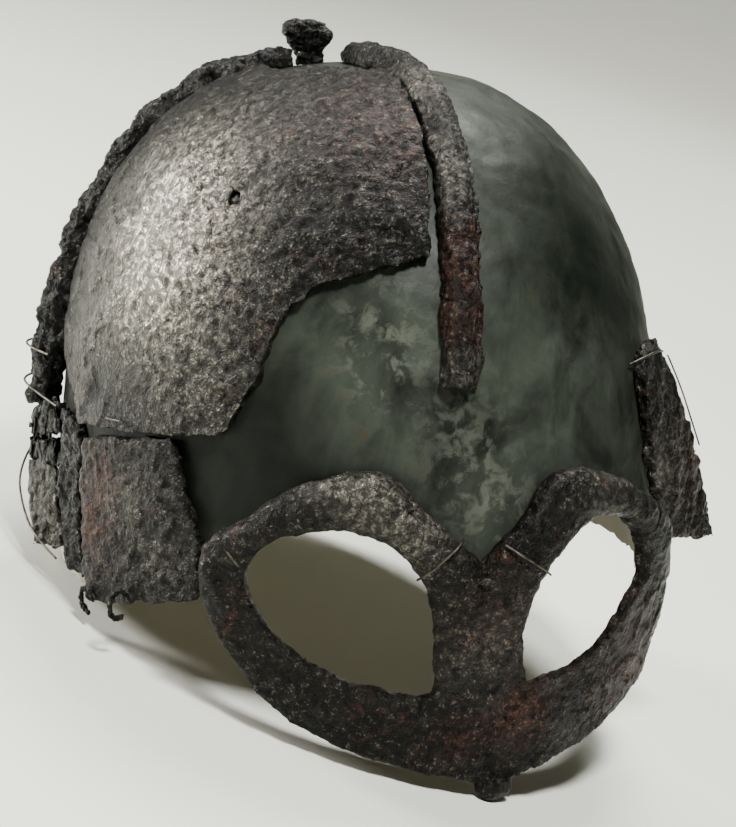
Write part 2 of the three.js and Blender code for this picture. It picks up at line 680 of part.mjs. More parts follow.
function ringGeometry(place) {
  const edge = leftCheekRows[0];
  const turn = THREE.MathUtils.lerp(edge.left, edge.right, place.across);
  const height = THREE.MathUtils.lerp(edge.leftUp, edge.rightUp, place.across) * crownHeight;
  const faceOffset = seatGap + sidePlateThickness + ringWire / 2 + wireGap;
  const seat = skinPoint(turn, height, faceOffset + place.out * ringRadius);
  const points = [];
  for (let i = 0; i <= ringSteps; i += 1) {
    const angle = (ringOpening / 2 + ((360 - ringOpening) * i) / ringSteps - 30) * degree;
    points.push(new THREE.Vector3(Math.cos(angle) * ringRadius, 0, Math.sin(angle) * ringRadius));
  }
  const ring = wireGeometry(new THREE.CatmullRomCurve3(points), ringWire, 18, 6);
  ring.rotateZ(place.facing * degree);
  ring.translate(seat.x, seat.y, seat.z);
  return ring;
}

// Binding wires
function overGuardWire(route) {
  const points = route.map((row) => guardPoint(
    row.turn * guardHalfTurn,
    spokeHeight(row.height),
    row.depth * (guardThickness + browRise) + bindingWire / 2 + wireGap,
  ));
  return wireGeometry(new THREE.CatmullRomCurve3(points), bindingWire, 14, 6);
}

const leftBrowWire = [
  { turn: -0.225, height: 0.29, depth: 0.55 },
  { turn: -0.19, height: 0.36, depth: 0.93 },
  { turn: -0.145, height: 0.45, depth: 1.03 },
  { turn: -0.1, height: 0.52, depth: 0.93 },
  { turn: -0.07, height: 0.56, depth: 0.55 },
];

const rightBrowWire = [
  { turn: 0.255, height: 0.25, depth: 0.55 },
  { turn: 0.205, height: 0.32, depth: 0.93 },
  { turn: 0.155, height: 0.39, depth: 1.03 },
  { turn: 0.11, height: 0.45, depth: 0.93 },
  { turn: 0.075, height: 0.5, depth: 0.55 },
];

// Assembly, with each finish's density in g/cm3
const upright = new THREE.Group();
const density = { filler: 1.6, iron: 5, rust: 5, wire: 5.9 };
const densities = new Map();

function addPiece(name, geometry, finish) {
  const bare = geometry.clone();
  bare.deleteAttribute('normal');
  bare.deleteAttribute('uv');
  const whole = mergeVertices(bare, 1e-4);
  whole.computeVertexNormals();
  const piece = new THREE.Mesh(whole, new THREE.MeshStandardMaterial({ ...finishes[finish], flatShading: true }));
  piece.name = name;
  upright.add(piece);
  densities.set(piece, density[finish]);
}

addPiece('bowl', bowlGeometry(), 'filler');
addPiece('upper_plate', upperPlateGeometry(), 'iron');
addPiece('left_cheek_plate', plateGeometry(leftCheekRows, sidePlateThickness, { columns: 9 }), 'rust');
addPiece('left_strip', plateGeometry(leftStripRows, sidePlateThickness * 0.8, { columns: 5 }), 'rust');
for (const [name, rows] of Object.entries(scrapRows)) {
  addPiece(name, plateGeometry(rows, scrapThickness, { columns: 5, flare: scrapFlare }), 'iron');
}
addPiece('right_cheek_plate', plateGeometry(rightCheekRows, cheekPlateThickness, {
  columns: 7,
  flare: rightCheekFlare,
}), 'rust');
addPiece('front_band', bandGeometry(frontBandRoute, bandWidth, bandRise, 30, seated), 'rust');
addPiece('lateral_band', bandGeometry(lateralBandRoute, lateralBandWidth, lateralBandRise, 30, loosened), 'iron');
addPiece('crown_knob', knobGeometry(), 'iron');
addPiece('spectacle_guard', guardGeometry(), 'rust');
addPiece('nose_rivet', rivetGeometry(), 'iron');
for (const place of ringPlaces) addPiece(place.name, ringGeometry(place), 'iron');
addPiece('left_brow_wire', overGuardWire(leftBrowWire), 'wire');
addPiece('right_brow_wire', overGuardWire(rightBrowWire), 'wire');

// Rest: the helmet stands on the face of its convex hull that lies under its centre of mass.
function massCentre(meshes) {
  const centre = new THREE.Vector3();
  let mass = 0;
  const corners = [new THREE.Vector3(), new THREE.Vector3(), new THREE.Vector3()];
  for (const mesh of meshes) {
    const { position } = mesh.geometry.attributes;
    const index = mesh.geometry.index.array;
    for (let i = 0; i < index.length; i += 3) {
      corners.forEach((corner, k) => corner.fromBufferAttribute(position, index[i + k]));
      const [a, b, c] = corners;
      const part = (a.dot(b.clone().cross(c)) / 6) * densities.get(mesh);
      mass += part;
      centre.addScaledVector(a.clone().add(b).add(c), part / 4);
    }
  }
  return centre.divideScalar(mass);
}

function restDown(meshes) {
  const points = [];
  for (const mesh of meshes) {
    const { position } = mesh.geometry.attributes;
    for (let i = 0; i < position.count; i += 1) points.push(new THREE.Vector3().fromBufferAttribute(position, i));
  }
  const hull = new ConvexHull().setFromPoints(points);
  const centre = massCentre(meshes);
  let best = null;
  for (const face of hull.faces) {
    const towards = face.normal;
    const height = face.constant - towards.dot(centre);
    const foot = centre.clone().addScaledVector(towards, height);
    const inside = insideFace(face, foot);
    if (towards.z < -0.5 && inside && (best === null || height < best.height)) best = { towards, height };
  }
  return best.towards;
}

function insideFace(face, foot) {
  let edge = face.edge;
  do {
    const from = edge.tail().point;
    const to = edge.head().point;
    const across = new THREE.Vector3().crossVectors(to.clone().sub(from), foot.clone().sub(from));
    if (across.dot(face.normal) < 0) return false;
    edge = edge.next;
  } while (edge !== face.edge);
  return true;
}

const down = restDown(upright.children);
upright.quaternion.setFromUnitVectors(down, new THREE.Vector3(0, 0, -1));
const helmet = new THREE.Group();
helmet.name = 'norse_iron_helmet';
helmet.add(upright);
helmet.updateMatrixWorld(true);
const box = new THREE.Box3().setFromObject(helmet, true);
upright.position.set(-(box.min.x + box.max.x) / 2, -(box.min.y + box.max.y) / 2, -box.min.z);
helmet.updateMatrixWorld(true);

export default helmet;
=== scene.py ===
"""Dresses the norse iron helmet: corroded iron on a smooth filler bowl, on a pale studio floor.

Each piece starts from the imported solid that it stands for, is remeshed finely, worn into shape with
displacement, and painted with attributes that its finish reads. Sizes are in millimetres in the helmet's own
upright frame, and HelmetFrame turns them into the scene's metres.
"""

from __future__ import annotations

import json
import logging
import math
from dataclasses import dataclass
from enum import Enum
from typing import Callable

import bpy
import numpy as np
from mathutils import Matrix, Vector, noise

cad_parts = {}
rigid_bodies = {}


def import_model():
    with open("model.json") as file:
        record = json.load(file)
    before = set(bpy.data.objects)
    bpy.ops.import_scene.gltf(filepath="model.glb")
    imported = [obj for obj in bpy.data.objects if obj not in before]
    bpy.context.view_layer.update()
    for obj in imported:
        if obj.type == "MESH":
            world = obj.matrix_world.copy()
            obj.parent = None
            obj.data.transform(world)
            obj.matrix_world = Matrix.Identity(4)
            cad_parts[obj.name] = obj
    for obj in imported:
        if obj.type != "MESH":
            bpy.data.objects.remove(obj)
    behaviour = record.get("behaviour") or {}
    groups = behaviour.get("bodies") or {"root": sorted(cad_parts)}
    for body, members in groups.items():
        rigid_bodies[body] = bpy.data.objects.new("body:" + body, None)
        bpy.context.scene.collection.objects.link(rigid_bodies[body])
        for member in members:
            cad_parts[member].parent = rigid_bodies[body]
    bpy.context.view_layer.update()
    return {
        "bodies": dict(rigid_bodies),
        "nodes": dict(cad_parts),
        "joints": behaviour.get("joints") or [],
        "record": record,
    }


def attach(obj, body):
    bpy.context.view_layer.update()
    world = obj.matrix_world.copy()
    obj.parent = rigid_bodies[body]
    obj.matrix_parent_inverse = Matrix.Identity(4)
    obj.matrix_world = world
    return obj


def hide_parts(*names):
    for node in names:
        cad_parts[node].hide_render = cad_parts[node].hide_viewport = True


LOG = logging.getLogger("norse_iron_helmet")
MM = 0.001

BOWL_HALF_WIDTH = 102.0
BOWL_HALF_LENGTH = 118.0
CROWN_HEIGHT = 158.0
BOWL_WALL = 4.0
SHOULDER_FULLNESS = 2.61
CROWN_FULLNESS = 2.695
RIM_DROP = 13.0
RIM_MOUNT_TURN = 176.0

NOISE_SEED = 7

ANY_DISTANCE = 300.0
PAINTED = ("sheen", "rust", "bare", "shade")
CELL_HASH = (12.9898, 78.233, 37.719)
PITTED_FROM = 0.45
PIT_RADIUS = 0.22
PIT_RADIUS_SPREAD = 0.3


class Relief(Enum):
    """The kinds of displacement that wear a surface."""

    SWELLS = "swells"
    CRUST = "crust"
    PITS = "pits"
    STEPS = "steps"


@dataclass(frozen=True)
class Wear:
    """One layer of displacement, with its grain size and depth in millimetres."""

    kind: Relief
    size: float
    depth: float
    mask: str = ""


@dataclass(frozen=True)
class Spot:
    """A round place on the helmet: turn in degrees, height and radius in millimetres, and a strength."""

    turn: float
    height: float
    radius: float
    strength: float = 1.0


def skin_point(turn: float, height: float, offset: float) -> tuple[float, float, float]:
    """Finds a point on the helmet's outer skin.

    Args:
        turn: Degrees from the front towards +X.
        height: Millimetres above the brow line.
        offset: Millimetres outside the bowl's outer face.

    Returns:
        The point in upright millimetres.
    """
    rise = min(max(height, 0.0) / (CROWN_HEIGHT + offset), 1.0)
    reach = (1.0 - rise**CROWN_FULLNESS) ** (1.0 / SHOULDER_FULLNESS)
    x = (BOWL_HALF_WIDTH + offset) * reach * math.sin(math.radians(turn))
    y = -(BOWL_HALF_LENGTH + offset) * reach * math.cos(math.radians(turn))
    return (x, y, height)


@dataclass(frozen=True)
class HelmetFrame:
    """The turn and shift from the helmet's upright frame to the resting scene."""

    rotation: Matrix
    shift: Vector

    @classmethod
    def from_record(cls, record: dict) -> HelmetFrame:
        """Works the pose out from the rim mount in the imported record.

        Args:
            record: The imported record.

        Returns:
            The helmet's frame.
        """
        rim = next(mount for mount in record["mounts"] if mount["name"] == "rim_face")
        turn = Vector((0.0, 0.0, -1.0)).rotation_difference(Vector(rim["axis"])).to_matrix()
        angle = math.radians(RIM_MOUNT_TURN)
        foot = Vector((
            (BOWL_HALF_WIDTH - BOWL_WALL / 2) * math.sin(angle),
            -(BOWL_HALF_LENGTH - BOWL_WALL / 2) * math.cos(angle),
            -RIM_DROP,
        ))
        return cls(turn, Vector(rim["pos_m"]) - turn @ foot * MM)

    def to_scene(self, point: tuple[float, float, float] | Vector) -> Vector:
        """Turns an upright point in millimetres into scene metres."""
        return self.rotation @ Vector(point) * MM + self.shift

    def to_helmet(self, points: np.ndarray) -> np.ndarray:
        """Turns scene points in metres into upright millimetres."""
        rotation = np.array(self.rotation)
        return (points - np.array(self.shift)) @ rotation / MM

    def from_helmet(self, upright: np.ndarray) -> np.ndarray:
        """Turns upright millimetres into scene points in metres."""
        return upright @ np.array(self.rotation).T * MM + np.array(self.shift)

    def skin(self, turn: float, height: float, offset: float) -> Vector:
        """Places a point of the skin in the scene."""
        return self.to_scene(skin_point(turn, height, offset))


def turns_and_heights(upright: np.ndarray) -> tuple[np.ndarray, np.ndarray]:
    """Finds the turn in degrees and the height of each upright point."""
    turn = np.degrees(np.arctan2(upright[:, 0] / BOWL_HALF_WIDTH, -upright[:, 1] / BOWL_HALF_LENGTH))
    return turn, upright[:, 2]


def ramp(values: np.ndarray, start: float, end: float) -> np.ndarray:
    """Rises smoothly from 0 at start to 1 at end."""
    t = np.clip((values - start) / (end - start), 0.0, 1.0)
    return t * t * (3.0 - 2.0 * t)


def spot_mask(upright: np.ndarray, spots: tuple[Spot, ...]) -> np.ndarray:
    """Adds up soft round spots.

    Args:
        upright: Points in upright millimetres.
        spots: The spots, each with its strength.

    Returns:
        One value for each point.
    """
    total = np.zeros(len(upright))
    for spot in spots:
        centre = np.array(skin_point(spot.turn, spot.height, 0.0))
        distance = np.linalg.norm(upright - centre, axis=1)
        total += spot.strength * np.exp(-((distance / spot.radius) ** 2))
    return total


class Socket:
    """A shader value that can be written in an expression."""

    def __init__(self, graph: Graph, socket: bpy.types.NodeSocket) -> None:
        """Keeps the graph and the output socket."""
        self.graph = graph
        self.socket = socket

    def _math(self, operation: str, first: object, second: object) -> Socket:
        """Adds one Math node."""
        return self.graph.add("ShaderNodeMath", {"operation": operation}, {0: first, 1: second})

    def __add__(self, other: object) -> Socket:
        """Adds."""
        return self._math("ADD", self, other)

    def __radd__(self, other: object) -> Socket:
        """Adds from the right."""
        return self._math("ADD", other, self)

    def __sub__(self, other: object) -> Socket:
        """Subtracts."""
        return self._math("SUBTRACT", self, other)

    def __rsub__(self, other: object) -> Socket:
        """Subtracts from the right."""
        return self._math("SUBTRACT", other, self)

    def __mul__(self, other: object) -> Socket:
        """Multiplies."""
        return self._math("MULTIPLY", self, other)

    def __rmul__(self, other: object) -> Socket:
        """Multiplies from the right."""
        return self._math("MULTIPLY", other, self)

    def clamp(self) -> Socket:
        """Limits the value to 0 and 1."""
        return self.graph.add("ShaderNodeClamp", {}, {0: self})

    def band(self, start: float, end: float) -> Socket:
        """Rises smoothly from 0 at start to 1 at end."""
        settings = {"interpolation_type": "SMOOTHSTEP"}
        return self.graph.add("ShaderNodeMapRange", settings, {0: self, 1: start, 2: end})


class Graph:
    """A material's node tree, written by expressions."""

    def __init__(self, name: str) -> None:
        """Makes an empty material with an output and a Principled shader.

        Args:
            name: The material's name.
        """
        self.material = bpy.data.materials.new(name)
        self.material.use_nodes = True
        self.tree = self.material.node_tree
        self.shader = self.tree.nodes["Principled BSDF"]
        self.place = self.tree.nodes.new("ShaderNodeTexCoord").outputs["Object"]

    def add(self, kind: str, settings: dict, values: dict, output: int | str = 0) -> Socket:
        """Adds a node.

        Args:
            kind: The node's type.
            settings: Properties that are set first.
            values: Values, sockets or links by input name or index.
            output: The output that is returned.

        Returns:
            The chosen output.
        """
        node = self.tree.nodes.new(kind)
        for key, value in settings.items():
            setattr(node, key, value)
        for key, value in values.items():
            self.feed(node.inputs[key], value)
        return Socket(self, node.outputs[output])

    def feed(self, target: bpy.types.NodeSocket, value: object) -> None:
        """Links a socket or sets a value.

        Args:
            target: The input.
            value: A socket, a node's output or a plain value.
        """
        if isinstance(value, Socket):
            self.tree.links.new(value.socket, target)
        elif isinstance(value, bpy.types.NodeSocket):
            self.tree.links.new(value, target)
        else:
            target.default_value = value

    def noise(self, size: float, detail: float = 6.0, roughness: float = 0.6, warp: float = 0.0) -> Socket:
        """Adds noise.

        Args:
            size: The size of its grains in millimetres.
            detail: How many finer layers it has.
            roughness: How strong the finer layers are.
            warp: How far it is distorted.

        Returns:
            The noise's value.
        """
        values = {
            "Vector": self.place,
            "Scale": 1.0 / (size * MM),
            "Detail": detail,
            "Roughness": roughness,
            "Distortion": warp,
        }
        return self.add("ShaderNodeTexNoise", {}, values)

    def wobbled(self, size: float, reach: float) -> Socket:
        """Gives places that wander, so that a pattern on them loses its regular cells.

        Args:
            size: The size of the wandering in millimetres.
            reach: How far places wander, in millimetres.

        Returns:
            A vector socket.
        """
        values = {"Vector": self.place, "Scale": 1.0 / (size * MM), "Detail": 3.0}
        wander = self.add("ShaderNodeTexNoise", {}, values, "Color")
        middle = (0.5, 0.5, 0.5)
        centred = self.vector("SUBTRACT", {0: wander, 1: middle})
        scaled = self.vector("SCALE", {0: centred, "Scale": reach * MM * 2.0})
        return self.vector("ADD", {0: scaled, 1: self.place})

    def vector(self, operation: str, values: dict) -> Socket:
        """Adds one Vector Math node."""
        return self.add("ShaderNodeVectorMath", {"operation": operation}, values)

    def cells(self, size: float, feature: str = "F1") -> Socket:
        """Adds uneven cells of a size in millimetres."""
        values = {"Vector": self.wobbled(size * 0.8, size * 0.6), "Scale": 1.0 / (size * MM)}
        return self.add("ShaderNodeTexVoronoi", {"feature": feature}, values)

    def attribute(self, name: str) -> Socket:
        """Reads a value painted on the piece."""
        return self.add("ShaderNodeAttribute", {"attribute_name": name}, {}, "Fac")

    def blend(self, factor: object, first: object, second: object) -> Socket:
        """Mixes two colours."""
        return self.add("ShaderNodeMix", {"data_type": "RGBA"}, {0: factor, 6: first, 7: second}, 2)

    def bump(self, height: Socket, depth: float, strength: float) -> None:
        """Feeds a bump of a depth in millimetres to the shader's normal."""
        values = {"Height": height, "Distance": depth * MM, "Strength": strength}
        self.feed(self.shader.inputs["Normal"], self.add("ShaderNodeBump", {}, values))

    def set(self, **inputs: object) -> None:
        """Sets or links the shader's inputs, with underscores for spaces."""
        for name, value in inputs.items():
            self.feed(self.shader.inputs[name.replace("_", " ")], value)


Colour = tuple[float, float, float, float]


@dataclass(frozen=True)
class IronFinish:
    """Conserved archaeological iron: pitted, brown to black, waxed, with a grey sheen where it is sound; the
    sheen is also painted in as a highlight where the lights fall.
    """

    name: str
    black: Colour = (0.0016, 0.0018, 0.0016, 1.0)
    brown: Colour = (0.0090, 0.0084, 0.0068, 1.0)
    sheen: Colour = (0.52, 0.49, 0.41, 1.0)
    rust: Colour = (0.085, 0.024, 0.013, 1.0)
    rust_reach: float = 0.35
    metal: float = 0.35
    broad: float = 26.0
    patch: float = 8.0
    grain: float = 2.4
    fine: float = 0.8
    scale: float = 3.0
    crack: float = 4.4
    roughness: float = 0.33

    def build(self) -> bpy.types.Material:
        """Makes the material from noises of the sizes above, in millimetres, and the painted attributes.

        Returns:
            The material.
        """
        graph = Graph(self.name)
        broad = graph.noise(self.broad, 4.0, 0.6, 0.4)
        patch = graph.noise(self.patch, 5.0, 0.65, 0.6)
        grain = graph.noise(self.grain, 8.0, 0.68)
        fine = graph.noise(self.fine, 5.0, 0.6)
        scales = graph.cells(self.scale).band(0.75, 0.1)
        cracks = graph.cells(self.crack, "DISTANCE_TO_EDGE").band(0.0, 0.09)
        rough_places = patch.band(0.35, 0.6)
        relief = graph.attribute("relief")
        sheen = graph.attribute("sheen")
        rust = graph.attribute("rust")
        hollow = (relief * -1.0).band(0.05, 0.8)
        proud = relief.band(0.0, 0.8)
        colour = graph.blend(grain.band(0.36, 0.66), self.black, self.brown)
        glints = grain.band(0.42, 0.62) * fine.band(0.3, 0.6)
        # Painted highlight: sheen and glints lighten the colour towards the sheen colour where the lights
        # fall; the same marks also raise the shine of sound metal.
        bright = (sheen * (0.2 + patch * 1.1) + proud * 0.06).clamp() * (0.18 + glints * 0.82)
        colour = graph.blend(bright.clamp(), colour, self.sheen)
        spread = patch.band(0.52, 0.74) * broad.band(0.42, 0.62) * self.rust_reach
        stain = (spread + rust * grain.band(0.38, 0.62)).clamp()
        colour = graph.blend(stain * 0.8, colour, self.rust)
        crevice = ((1.0 - cracks) * rough_places * 0.7 + hollow * 0.55).clamp()
        colour = graph.blend(crevice, colour, self.black)
        fleck = fine.band(0.54, 0.6) * grain.band(0.5, 0.58) * (1.0 - crevice)
        colour = graph.blend(fleck * 0.2, colour, self.sheen)
        polish = self.roughness - sheen * 0.14 - fleck * 0.1
        roughness = polish + (grain - 0.5) * 0.5 + stain * 0.16 + hollow * 0.12
        metallic = (self.metal + sheen * 0.55 + fleck * 0.6 - stain * 0.35).clamp()
        graph.set(Base_Color=colour, Roughness=roughness.clamp(), Metallic=metallic)
        graph.set(Specular_IOR_Level=0.14, Coat_Weight=0.02, Coat_Roughness=0.22)
        calm = 1.0 - (sheen * 0.6).clamp()
        flaking = (scales * 0.5 + cracks * 0.35) * rough_places
        graph.bump((grain * 0.9 + flaking + patch * 0.3) * calm + fine * 0.34, 0.9, 0.95)
        return graph.material


@dataclass(frozen=True)
class FillerFinish:
    """Dark grey-green paint on smooth filler: mottled, streaked and semi-matt, bare inside and at the rim,
    with painted highlights on its pale patches and painted shade on its darker places.
    """

    name: str
    deep: Colour = (0.0036, 0.0050, 0.0034, 1.0)
    green: Colour = (0.040, 0.0465, 0.0360, 1.0)
    pale: Colour = (0.105, 0.112, 0.090, 1.0)
    ochre: Colour = (0.045, 0.028, 0.010, 1.0)
    bare: Colour = (0.50, 0.46, 0.37, 1.0)
    streaks_a_metre: float = 60.0
    streak_squash: float = 0.35
    cloud: float = 34.0
    mottle: float = 7.0
    fine: float = 1.3
    dimple: float = 3.6

    def build(self) -> bpy.types.Material:
        """Makes the material from noises of the sizes above, in millimetres, and the painted attributes.

        Returns:
            The material.
        """
        graph = Graph(self.name)
        squash = (1.0, 1.0, self.streak_squash)
        turned = graph.add("ShaderNodeMapping", {}, {"Vector": graph.place, "Scale": squash})
        streak = graph.add("ShaderNodeTexNoise", {}, {
            "Vector": turned,
            "Scale": self.streaks_a_metre,
            "Detail": 5.0,
            "Roughness": 0.6,
            "Distortion": 0.8,
        })
        cloud = graph.noise(self.cloud, 5.0, 0.6, 0.7)
        mottle = graph.noise(self.mottle, 6.0, 0.65, 0.4)
        fine = graph.noise(self.fine, 5.0, 0.55)
        dimples = graph.noise(self.dimple, 4.0, 0.6)
        sheen = graph.attribute("sheen")
        bare = graph.attribute("bare")
        shade = graph.attribute("shade")
        tone = cloud * 0.6 + streak * 0.5
        colour = graph.blend(tone.band(0.36, 0.74), self.deep, self.green)
        # Pale patches: paint mottle, and painted highlight where the sheen mask lies.
        pale_flake_and_highlight = (mottle.band(0.46, 0.62) * (sheen * 0.9 + cloud.band(0.55, 0.8) * 0.15)).clamp()
        colour = graph.blend(pale_flake_and_highlight, colour, self.pale)
        stain = (mottle.band(0.56, 0.7) * streak.band(0.5, 0.62)) * 0.45
        colour = graph.blend(stain, colour, self.ochre)
        # Painted shade: the shade mask darkens the paint towards the deep colour.
        colour = graph.blend((shade * 0.9).clamp(), colour, self.deep)
        colour = graph.blend(bare, colour, self.bare)
        roughness = 0.47 + (mottle - 0.5) * 0.3 + (fine - 0.5) * 0.15 - pale_flake_and_highlight * 0.08 + bare * 0.35
        graph.set(Base_Color=colour, Roughness=roughness.clamp(), Metallic=0.0)
        graph.set(Specular_IOR_Level=0.1, Coat_Weight=0.02, Coat_Roughness=0.32)
        graph.bump(dimples * 0.5 + mottle * 0.7 + fine * 0.18, 0.7, 0.42)
        return graph.material


@dataclass(frozen=True)
class WireFinish:
    """Thin binding wire, dulled and a little stained."""

    name: str
    metal: Colour = (0.10, 0.085, 0.065, 1.0)
    dull: Colour = (0.025, 0.022, 0.018, 1.0)

    def build(self) -> bpy.types.Material:
        """Makes the material.

        Returns:
            The material.
        """
        graph = Graph(self.name)
        stain = graph.noise(3.0, 4.0, 0.6)
        fine = graph.noise(0.5, 3.0, 0.5)
        graph.set(Base_Color=graph.blend(stain.band(0.4, 0.65), self.metal, self.dull))
        graph.set(Roughness=(0.32 + fine * 0.25).clamp(), Metallic=0.85)
        graph.bump(fine, 0.1, 0.4)
        return graph.material


@dataclass(frozen=True)
class FloorFinish:
    """A pale seamless studio floor."""

    name: str
    pale: Colour = (0.80, 0.80, 0.73, 1.0)
    cool: Colour = (0.75, 0.77, 0.70, 1.0)

    def build(self) -> bpy.types.Material:
        """Makes the material.

        Returns:
            The material.
        """
        graph = Graph(self.name)
        cloud = graph.noise(700.0, 2.0, 0.5)
        grain = graph.noise(2.0, 2.0, 0.5)
        graph.set(Base_Color=graph.blend(cloud.band(0.3, 0.7), self.cool, self.pale), Roughness=0.8)
        graph.bump(grain, 0.05, 0.15)
        return graph.material


def only(piece: bpy.types.Object) -> None:
    """Selects one object and makes it active.

    Args:
        piece: The object.
    """
    bpy.ops.object.select_all(action="DESELECT")
    piece.select_set(True)
    bpy.context.view_layer.objects.active = piece


def points_of(piece: bpy.types.Object) -> np.ndarray:
    """Reads a piece's points.

    Args:
        piece: The piece.

    Returns:
        One row for each point, in scene metres.
    """
    count = len(piece.data.vertices)
    flat = np.empty(count * 3)
    piece.data.vertices.foreach_get("co", flat)
    return flat.reshape(count, 3)


def normals_of(piece: bpy.types.Object) -> np.ndarray:
    """Reads a piece's point normals.

    Args:
        piece: The piece.

    Returns:
        One row for each point.
    """
    count = len(piece.data.vertices)
    flat = np.empty(count * 3, dtype=np.float32)
    piece.data.vertex_normals.foreach_get("vector", flat)
    return flat.reshape(count, 3).astype(float)


def move_points(piece: bpy.types.Object, points: np.ndarray) -> None:
    """Writes a piece's points."""
    piece.data.vertices.foreach_set("co", points.reshape(-1))
    piece.data.update()


def paint(piece: bpy.types.Object, name: str, values: np.ndarray) -> None:
    """Stores one value for each point under a name that a finish reads."""
    layer = piece.data.attributes.new(name, "FLOAT", "POINT")
    layer.data.foreach_set("value", np.clip(values, -1.0, 1.0).astype(np.float32))


def vector_noise(points: np.ndarray, size: float, seed: float) -> np.ndarray:
    """Finds a smooth random direction for each point.

    Args:
        points: Points in millimetres.
        size: The size of the noise in millimetres.
        seed: Moves the pattern.

    Returns:
        One vector for each point, about unit length at most.
    """
    shifted = points / size + np.array([seed, seed * 0.7, -seed])
    return np.array([noise.noise_vector(place) for place in shifted.tolist()])


def pits_of(places: list[list[float]]) -> np.ndarray:
    """Sinks a round pit of its own size and depth into some of the cells.

    Args:
        places: Points in units of one cell.

    Returns:
        Values from -1, at a pit's floor, to 0.
    """
    found = np.zeros(len(places))
    for i, place in enumerate(places):
        distances, centres = noise.voronoi(place)
        chance = sum(a * b for a, b in zip(centres[0], CELL_HASH)) % 1.0
        radius = PIT_RADIUS + PIT_RADIUS_SPREAD * chance
        if chance > PITTED_FROM and distances[0] < radius:
            found[i] = -chance * (1.0 - (distances[0] / radius) ** 2)
    return found


def relief_of(layer: Wear, points: np.ndarray, seed: float) -> np.ndarray:
    """Finds how far one layer of wear lifts or sinks each point.

    Args:
        layer: The layer.
        points: Points in millimetres.
        seed: Moves the pattern.

    Returns:
        Values from about -1 to 1.
    """
    places = (points / layer.size + np.array([seed * 3.1, -seed * 1.7, seed * 2.3])).tolist()
    if layer.kind is Relief.PITS:
        return pits_of(places)
    octaves = 2 if layer.kind is Relief.STEPS else 4
    waves = np.array([noise.fractal(place, 0.8, 2.1, octaves) for place in places])
    if layer.kind is Relief.CRUST:
        return np.abs(waves) * 2.2 - 0.55
    if layer.kind is Relief.STEPS:
        return ramp(waves, 0.02, 0.09) * 2.0 - 1.0
    return waves * 1.5


def onto_shell(upright: np.ndarray, offset: float, reach: float) -> np.ndarray:
    """Moves points that lie close to one of the helmet's smooth skins exactly onto it.

    Args:
        upright: Points in upright millimetres.
        offset: The skin's distance outside the bowl's outer face.
        reach: How close a point has to be, in millimetres.

    Returns:
        The points.
    """
    moved = upright.copy()
    size = np.array([BOWL_HALF_WIDTH, BOWL_HALF_LENGTH, CROWN_HEIGHT]) + offset
    passes = 2
    for _ in range(passes):
        x, y, z = (moved / size).T
        rise = np.clip(z, 1e-4, None)
        around = np.hypot(x, y) + 1e-6
        value = around**SHOULDER_FULLNESS + rise**CROWN_FULLNESS - 1.0
        side = SHOULDER_FULLNESS * around ** (SHOULDER_FULLNESS - 2.0)
        upward = np.where(z > 0.0, CROWN_FULLNESS * rise ** (CROWN_FULLNESS - 1.0), 0.0)
        slope = np.stack([side * x, side * y, upward], axis=1) / size
        steep = np.sum(slope * slope, axis=1)
        step = slope * (value / steep)[:, None]
        near = np.linalg.norm(step, axis=1) < reach
        moved[near] -= step[near]
    return moved


def away_from_bowl(upright: np.ndarray) -> tuple[np.ndarray, np.ndarray]:
    """Finds each point's way from the bowl's outer face, as a vector and as a signed distance."""
    away = upright - onto_shell(upright, 0.0, ANY_DISTANCE)
    return away, np.linalg.norm(away, axis=1) * np.sign(np.sum(away * upright, axis=1))


def over_the_crown(upright: np.ndarray) -> np.ndarray:
    """Slides the top of the upper plate on towards the crown, along the skin that it lies on.

    Args:
        upright: Points in upright millimetres.

    Returns:
        The points.
    """
    start = 0.8
    end = 0.1
    turn, _ = turns_and_heights(upright)
    _, offset = away_from_bowl(upright)
    width = BOWL_HALF_WIDTH + offset
    length = BOWL_HALF_LENGTH + offset
    reach = np.hypot(upright[:, 0] / width, upright[:, 1] / length)
    places = np.arange(-80.0, 0.1, 4.0)
    tops = [reach[np.abs(turn - place) < 4.0].min(initial=start - 0.1) for place in places]
    edge = np.interp(turn, places, tops)
    goal = start - (start - reach) * (start - end) / (start - edge)
    share = ramp(turn, -76.0, -60.0) * (reach < start)
    slid = np.clip(reach + (goal - reach) * share, 0.0, 0.999)
    height = (CROWN_HEIGHT + offset) * (1.0 - slid**SHOULDER_FULLNESS) ** (1.0 / CROWN_FULLNESS)
    angle = np.radians(turn)
    moved = np.stack([width * slid * np.sin(angle), -length * slid * np.cos(angle), height], axis=1)
    return np.where((share > 0.0)[:, None], moved, upright)


def down_to_the_bowl(upright: np.ndarray) -> np.ndarray:
    """Thickens the lateral band inwards, so that dark iron fills the gap between it and the bowl, as a dark
    stand-in for the shade that falls in that gap.

    Args:
        upright: Points in upright millimetres.

    Returns:
        The points.
    """
    seat = 0.4
    away, offset = away_from_bowl(upright)
    outwards = away / np.maximum(np.linalg.norm(away, axis=1, keepdims=True), 1e-6)
    places = np.arange(40.0, 160.1, 4.0)
    near = [np.abs(upright[:, 2] - place) < 5.0 for place in places]
    low = np.interp(upright[:, 2], places, [offset[m].min(initial=9.0) for m in near])
    high = np.interp(upright[:, 2], places, [offset[m].max(initial=10.0) for m in near])
    deeper = seat + (offset - low) / np.maximum(high - low, 0.5) * (high - seat)
    return upright + outwards * (np.minimum(deeper, offset) - offset)[:, None]


